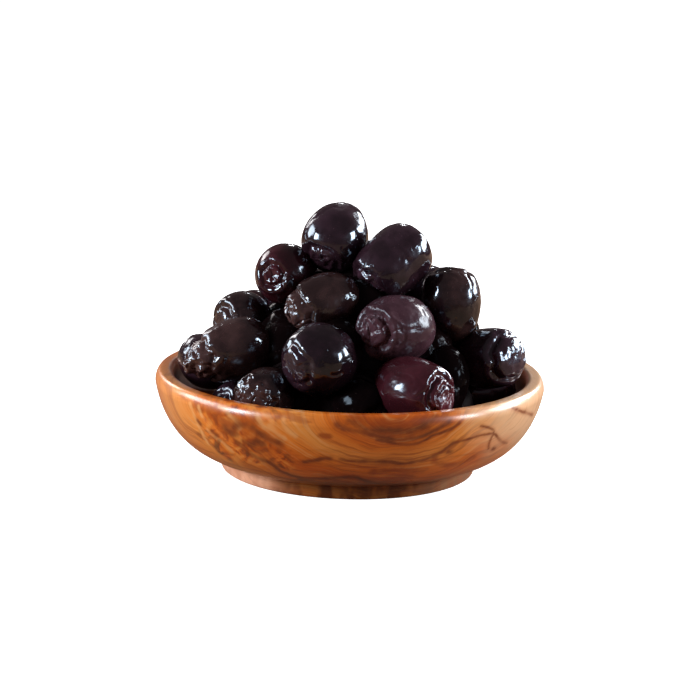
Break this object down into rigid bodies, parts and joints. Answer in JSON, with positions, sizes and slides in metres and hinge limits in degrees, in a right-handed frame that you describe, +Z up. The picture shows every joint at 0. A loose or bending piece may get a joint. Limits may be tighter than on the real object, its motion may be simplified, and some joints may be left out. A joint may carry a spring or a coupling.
{
  "type": "dish of olives",
  "caption": "Shallow turned olive-wood dish on a low foot, heaped with shiny whole black olives, served as a starter or a snack.",
  "frame": {"origin": "centre of the foot's underside, on the surface that the dish stands on", "axes": "+Z up along the dish's turning axis, -Y to the side of the heap that the picture shows"},
  "size_m": [0.12, 0.12, 0.0825],
  "materials": {
    "olive_wood": "oiled satin olive wood with dark figured grain",
    "olive_skin": "wet, glossy, purple-black olive skin, puckered at the stem end"
  },
  "bodies": {
    "root": {"dish": "olive_wood", "olives": "olive_skin"}
  },
  "joints": []
}
